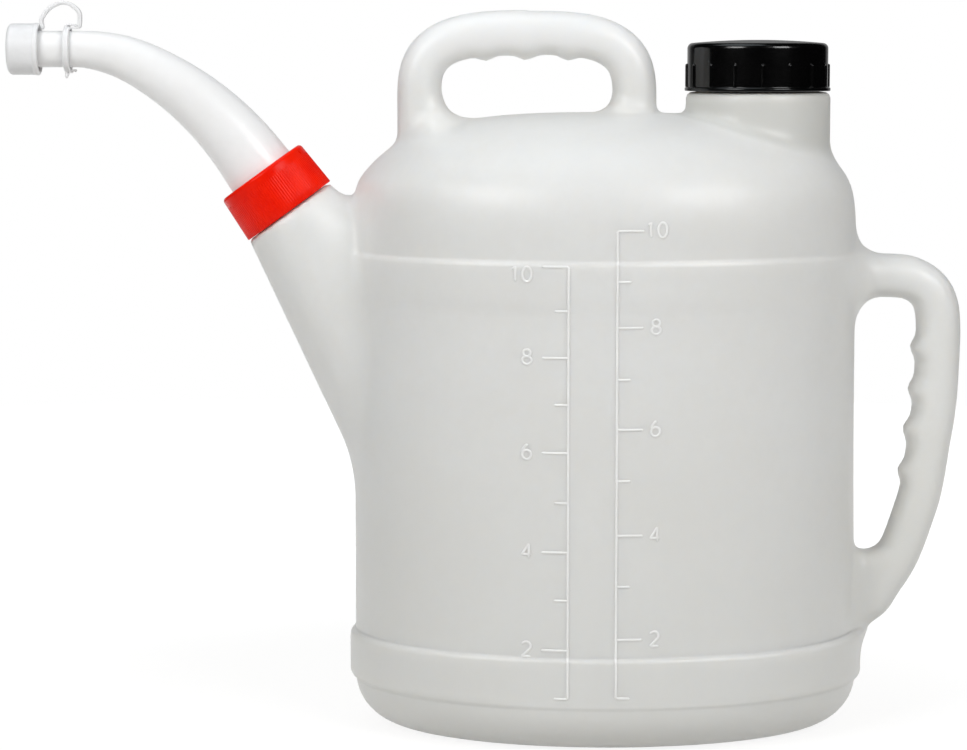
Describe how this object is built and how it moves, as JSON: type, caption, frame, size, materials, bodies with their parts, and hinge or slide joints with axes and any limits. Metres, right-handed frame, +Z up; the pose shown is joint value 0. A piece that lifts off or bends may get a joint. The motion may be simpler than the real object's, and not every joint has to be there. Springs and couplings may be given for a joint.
{
  "type": "pouring can",
  "caption": "Oval blow-moulded workshop can with top and rear handles, screwed filler cap, screwed-on curved pouring spout and a tethered push-on tip cap.",
  "frame": {"origin": "middle of the whole object's bounding box, on the floor that the can stands on", "axes": "+Z up, the spout points along -X and the rear handle along +X, the graduated front faces -Y"},
  "size_m": [0.5118, 0.194, 0.3884],
  "materials": {
    "can_plastic": "satin",
    "cap_plastic": "gloss",
    "liner_foam": "matte",
    "collar_plastic": "gloss",
    "gasket_rubber": "matte",
    "spout_plastic": "satin",
    "tip_plastic": "satin"
  },
  "bodies": {
    "can": {"can_body": "can_plastic"},
    "filler_seal": {"filler_seal": "liner_foam"},
    "filler_cap": {"filler_cap": "cap_plastic"},
    "spout_gasket": {"spout_gasket": "gasket_rubber"},
    "spout": {"spout": "spout_plastic"},
    "spout_collar": {"spout_collar": "collar_plastic"},
    "tether_ring": {"tether_ring": "tip_plastic", "tether_strap": "tip_plastic"},
    "spout_cap": {"spout_cap": "tip_plastic"}
  },
  "joints": [
    {"name": "filler_cap_rise", "type": "slide", "parent": "can", "child": "filler_seal", "axis": [0, 0, 1], "range_m": [0, 0.024]},
    {"name": "filler_cap_turn", "type": "hinge", "parent": "filler_seal", "child": "filler_cap", "pos_m": [0.1456, 0, 0.35], "axis": [0, 0, 1], "range_deg": [0, 1440]},
    {"name": "spout_rise", "type": "slide", "parent": "can", "child": "spout_gasket", "axis": [-0.5857, 0, 0.8106], "range_m": [0, 0.024]},
    {"name": "collar_turn", "type": "hinge", "parent": "spout_gasket", "child": "spout_collar", "pos_m": [-0.10496, 0, 0.27675], "axis": [-0.5857, 0, 0.8106], "range_deg": [0, 1440]},
    {"name": "spout_swivel", "type": "hinge", "parent": "spout_gasket", "child": "spout", "pos_m": [-0.10496, 0, 0.27675], "axis": [-0.5857, 0, 0.8106], "continuous": true},
    {"name": "tether_ring_turn", "type": "hinge", "parent": "spout", "child": "tether_ring", "pos_m": [-0.25356, 0, 0.36299], "axis": [-1, 0, 0], "continuous": true},
    {"name": "spout_cap_pull", "type": "slide", "parent": "tether_ring", "child": "spout_cap", "axis": [-1, 0, 0], "range_m": [0, 0.018], "deforming": ["tether_strap"]}
  ],
  "couplings": [
    {"joint": "filler_cap_rise", "follows": "filler_cap_turn", "m_per_rad": 0.00095493},
    {"joint": "spout_rise", "follows": "collar_turn", "m_per_rad": 0.00095493}
  ]
}
